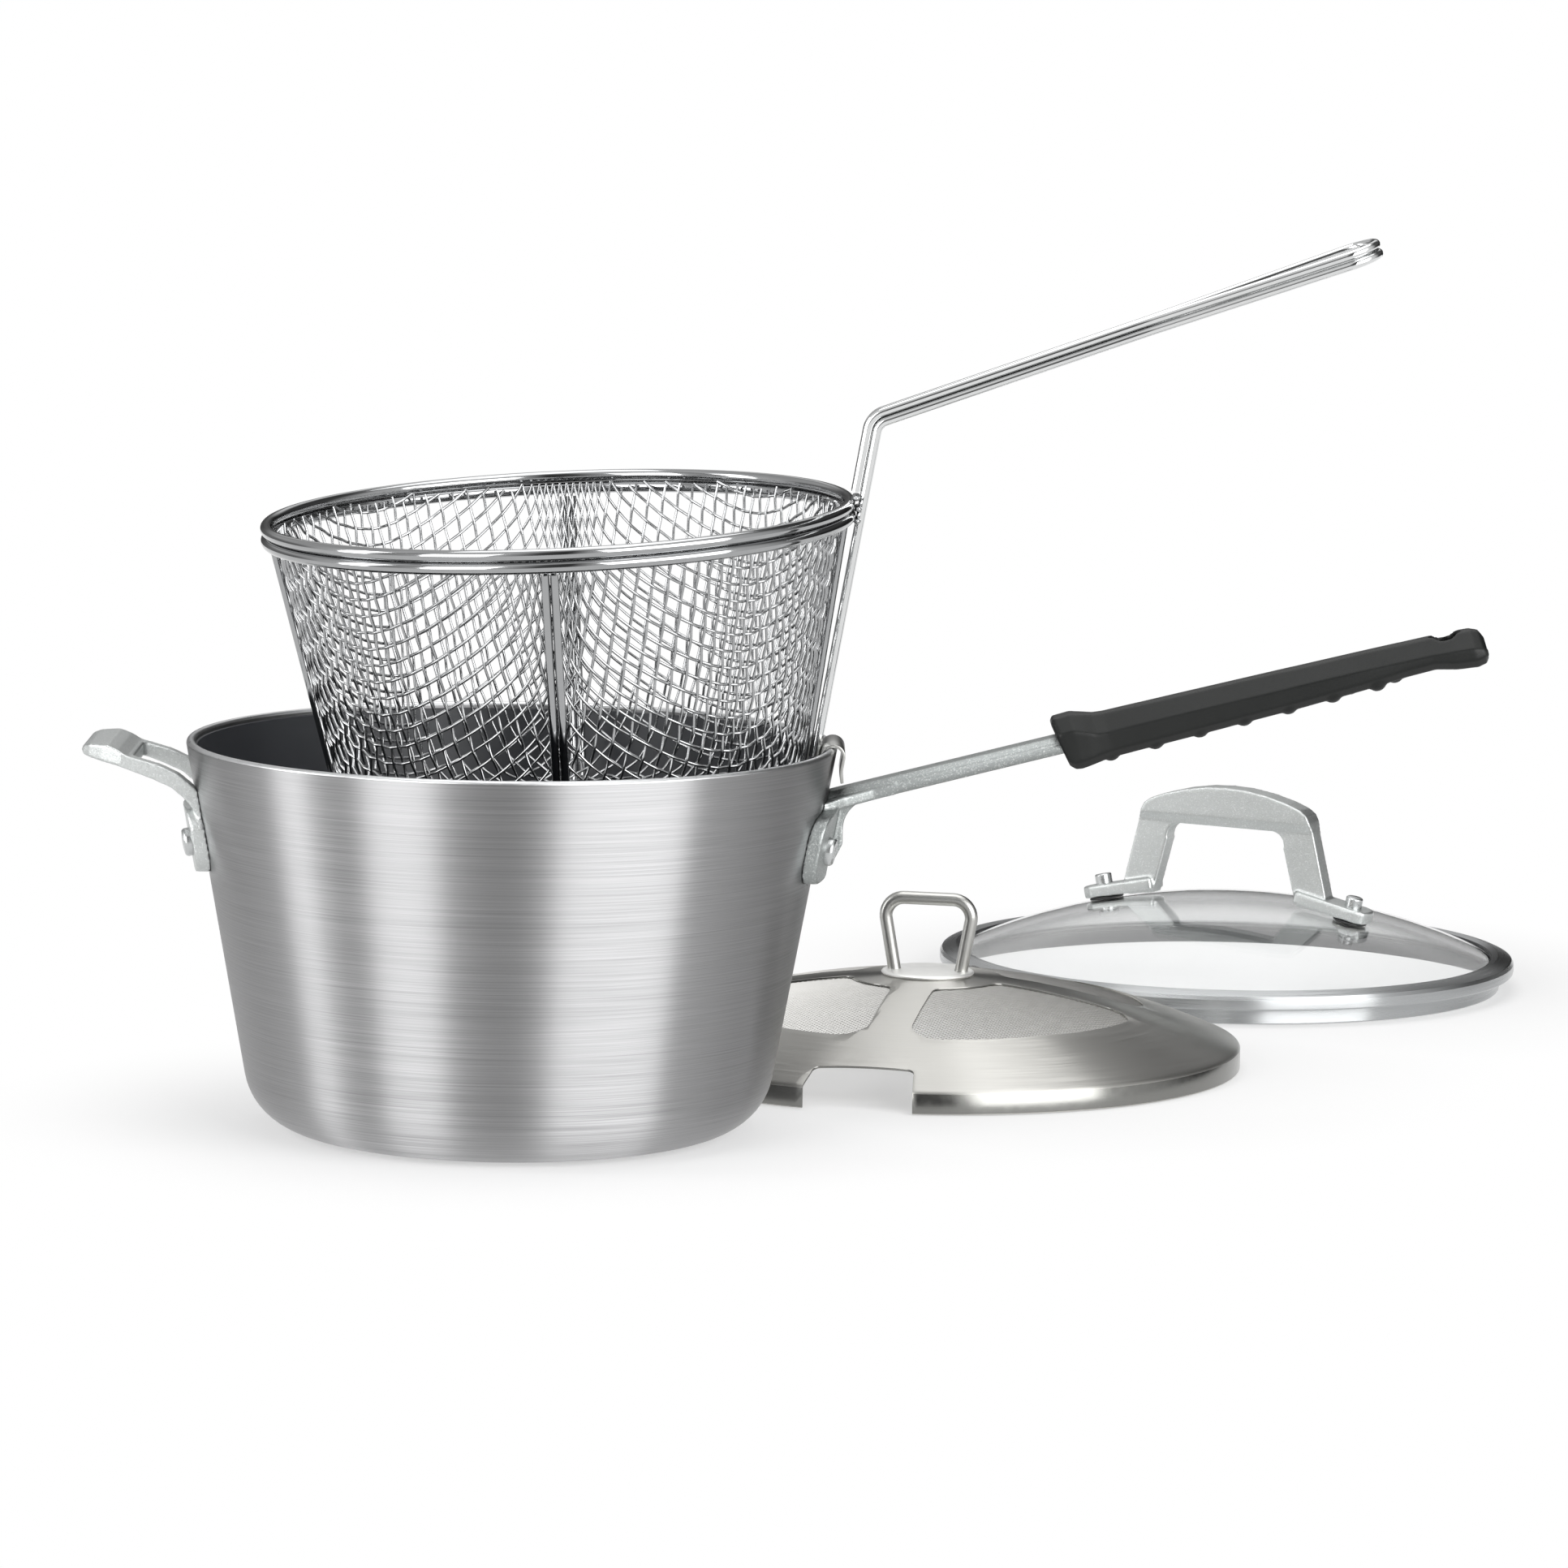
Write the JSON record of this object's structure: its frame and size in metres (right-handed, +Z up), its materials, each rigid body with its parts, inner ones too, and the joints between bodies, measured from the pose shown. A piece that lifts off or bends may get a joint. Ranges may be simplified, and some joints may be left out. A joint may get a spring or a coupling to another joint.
{
  "type": "stovetop deep fryer set",
  "caption": "Tapered two-handled fry pot with a wire basket hooked on its rim, a screened splatter lid and a glass lid with a bridge handle.",
  "frame": {"origin": "centre of the pot's base on the floor", "axes": "+Z up, +X along the pot's long handle, the two lids stand at +Y"},
  "size_m": [0.5918, 0.6346, 0.3472],
  "materials": {
    "pot_aluminium": "brushed",
    "lining": "satin non-stick",
    "cast_metal": "satin cast",
    "grip": "satin silicone",
    "basket_wire": "polished",
    "lid_steel": "satin",
    "screen_mesh": "fine woven mesh",
    "lid_glass": "clear",
    "gasket": "matt"
  },
  "bodies": {
    "pot": {"pot_shell": "pot_aluminium", "nonstick_lining": "lining", "long_handle": "cast_metal", "long_handle_rivets": "cast_metal", "grip_sleeve": "grip", "helper_handle": "cast_metal", "helper_handle_rivets": "cast_metal"},
    "basket": {"basket_top_ring": "basket_wire", "basket_lower_ring": "basket_wire", "basket_ribs": "basket_wire", "basket_side_wires": "basket_wire", "basket_hoop_wires": "basket_wire", "basket_corner_wires": "basket_wire", "basket_floor_wires": "basket_wire", "basket_handle_upper_loop": "basket_wire", "basket_handle_lower_loop": "basket_wire", "basket_rim_hook": "basket_wire"},
    "splatter_lid": {"splatter_lid_shell": "lid_steel", "splatter_lid_screen": "screen_mesh", "splatter_lid_disc": "lid_steel", "splatter_lid_loop": "lid_steel"},
    "glass_lid": {"glass_dome": "lid_glass", "glass_lid_band": "lid_steel", "glass_lid_bridge": "cast_metal", "glass_lid_gaskets": "gasket", "glass_lid_screws": "lid_steel", "glass_lid_washers": "lid_steel"}
  },
  "joints": [
    {"name": "basket_lift", "type": "slide", "parent": "pot", "child": "basket", "axis": [0, 0, 1], "range_m": [0, 0.15]},
    {"name": "splatter_lid_lift", "type": "slide", "parent": "pot", "child": "splatter_lid", "axis": [0.2425, 0, 0.9701], "range_m": [0, 0.15]},
    {"name": "glass_lid_lift", "type": "slide", "parent": "pot", "child": "glass_lid", "axis": [0.2425, 0, 0.9701], "range_m": [0, 0.15]}
  ]
}
